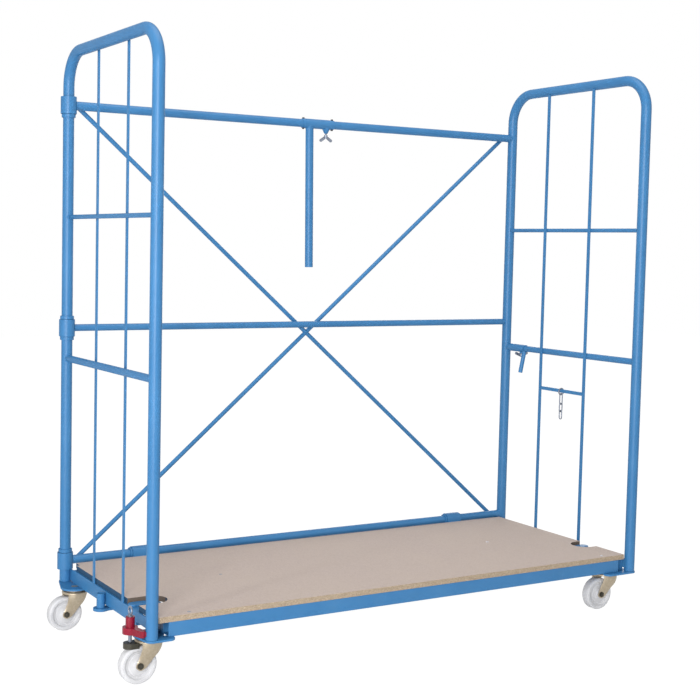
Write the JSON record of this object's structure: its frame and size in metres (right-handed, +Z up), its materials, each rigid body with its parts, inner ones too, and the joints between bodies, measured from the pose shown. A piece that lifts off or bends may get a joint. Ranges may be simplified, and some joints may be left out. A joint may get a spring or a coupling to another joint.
{
  "type": "furniture roll container",
  "caption": "Tall roll container for furniture with hooped end gates, a cross-braced back wall, a folding board deck, a swinging gate and swivel castors.",
  "frame": {"origin": "middle of the footprint box on the floor", "axes": "+X along the length to the right gate, +Y to the back wall, +Z up"},
  "size_m": [1.82, 0.7216, 1.7629],
  "materials": {
    "blue_paint": "gloss powder coat",
    "zinc": "bright zinc plate",
    "gold_zinc": "yellow zinc plate",
    "black": "black",
    "dark_steel": "dark olive plate",
    "white_nylon": "white cast nylon",
    "red_paint": "gloss red",
    "particle_board": "raw particle board"
  },
  "bodies": {
    "frame": {"right_hoop": "blue_paint", "right_bars": "blue_paint", "right_upper_rod": "blue_paint", "right_lower_tube": "blue_paint", "right_base_beam": "blue_paint", "right_lug": "blue_paint", "right_foot_plates": "blue_paint", "right_castor_heads": "gold_zinc", "crossbar": "blue_paint", "chain_ring": "zinc", "back_top_rail": "blue_paint", "back_mid_rail": "blue_paint", "back_lower_rail": "blue_paint", "brace_long": "blue_paint", "brace_halves": "blue_paint", "pivot_sleeves": "blue_paint", "pivot_bushes": "black", "deck_stop_rings": "blue_paint", "arm_collars": "blue_paint", "collar_screws": "black"},
    "left_gate": {"left_hoop": "blue_paint", "left_bars": "blue_paint", "left_upper_rod": "blue_paint", "left_lower_tube": "blue_paint", "left_base_beam": "blue_paint", "left_lug": "blue_paint", "foot_plate_fl": "blue_paint", "foot_plate_rl": "blue_paint", "left_castor_heads": "gold_zinc", "gate_stop_rings": "blue_paint", "coupling_plate": "blue_paint", "coupling_post": "blue_paint", "lock_housing": "red_paint"},
    "deck": {"deck_board": "particle_board", "deck_front_beam": "blue_paint", "deck_underframe": "blue_paint", "deck_sleeves": "blue_paint", "deck_screws": "zinc"},
    "lock_pin": {"lock_pin": "zinc"},
    "stop_arm": {"stop_arm": "blue_paint"},
    "wing_screw": {"wing_screw": "zinc"},
    "side_clamp": {"side_clamp": "blue_paint", "clamp_screw": "zinc"},
    "chain_a": {"chain_link_a": "zinc"},
    "chain_b": {"chain_link_b": "zinc"},
    "chain_c": {"chain_link_c": "zinc"},
    "castor_fl": {"fork_fl": "gold_zinc", "axle_fl": "zinc", "lock_plate": "dark_steel"},
    "castor_rl": {"fork_rl": "gold_zinc", "axle_rl": "zinc"},
    "castor_fr": {"fork_fr": "gold_zinc", "axle_fr": "zinc"},
    "castor_rr": {"fork_rr": "gold_zinc", "axle_rr": "zinc"},
    "wheel_fl": {"wheel_fl": "white_nylon"},
    "wheel_rl": {"wheel_rl": "white_nylon"},
    "wheel_fr": {"wheel_fr": "white_nylon"},
    "wheel_rr": {"wheel_rr": "white_nylon"}
  },
  "joints": [
    {"name": "left_gate_swing", "type": "hinge", "parent": "frame", "child": "left_gate", "pos_m": [-0.824, 0.33615, 0.9], "axis": [0, 0, 1], "range_deg": [-100, 0]},
    {"name": "deck_fold", "type": "hinge", "parent": "frame", "child": "deck", "pos_m": [0.031, 0.33615, 0.195], "axis": [1, 0, 0], "range_deg": [-90, 0]},
    {"name": "swivel_fl", "type": "hinge", "parent": "left_gate", "child": "castor_fl", "pos_m": [-0.81, -0.28785, 0.111], "axis": [0, 0, 1], "continuous": true},
    {"name": "swivel_rl", "type": "hinge", "parent": "left_gate", "child": "castor_rl", "pos_m": [-0.821, 0.25915, 0.111], "axis": [0, 0, 1], "continuous": true},
    {"name": "swivel_fr", "type": "hinge", "parent": "frame", "child": "castor_fr", "pos_m": [0.831, -0.28485, 0.111], "axis": [0, 0, 1], "continuous": true},
    {"name": "swivel_rr", "type": "hinge", "parent": "frame", "child": "castor_rr", "pos_m": [0.831, 0.27915, 0.111], "axis": [0, 0, 1], "continuous": true},
    {"name": "spin_fl", "type": "hinge", "parent": "castor_fl", "child": "wheel_fl", "pos_m": [-0.842, -0.28785, 0.052], "axis": [0, 1, 0], "continuous": true},
    {"name": "spin_rl", "type": "hinge", "parent": "castor_rl", "child": "wheel_rl", "pos_m": [-0.853, 0.25915, 0.052], "axis": [0, 1, 0], "continuous": true},
    {"name": "spin_fr", "type": "hinge", "parent": "castor_fr", "child": "wheel_fr", "pos_m": [0.799, -0.28485, 0.052], "axis": [0, 1, 0], "continuous": true},
    {"name": "spin_rr", "type": "hinge", "parent": "castor_rr", "child": "wheel_rr", "pos_m": [0.799, 0.27915, 0.052], "axis": [0, 1, 0], "continuous": true},
    {"name": "stop_arm_swing", "type": "hinge", "parent": "frame", "child": "stop_arm", "pos_m": [0.0195, 0.33615, 1.592], "axis": [1, 0, 0], "continuous": true},
    {"name": "wing_screw_turn", "type": "hinge", "parent": "stop_arm", "child": "wing_screw", "pos_m": [0.084, 0.33615, 1.55], "axis": [0, 0, 1], "continuous": true},
    {"name": "side_clamp_swing", "type": "hinge", "parent": "frame", "child": "side_clamp", "pos_m": [0.886, 0.22765, 0.824], "axis": [0, 1, 0], "continuous": true},
    {"name": "chain_a_swing", "type": "hinge", "parent": "frame", "child": "chain_a", "pos_m": [0.87305, 0.00765, 0.67955], "axis": [1, 0, 0], "range_deg": [-40, 40]},
    {"name": "chain_b_swing", "type": "hinge", "parent": "chain_a", "child": "chain_b", "pos_m": [0.87305, 0.00765, 0.6451], "axis": [0, 1, 0], "range_deg": [-40, 40]},
    {"name": "chain_c_swing", "type": "hinge", "parent": "chain_b", "child": "chain_c", "pos_m": [0.87305, 0.00765, 0.6194], "axis": [1, 0, 0], "range_deg": [-40, 40]},
    {"name": "lock_pin_lift", "type": "slide", "parent": "left_gate", "child": "lock_pin", "axis": [0, 0, 1], "range_m": [0, 0.01]}
  ]
}
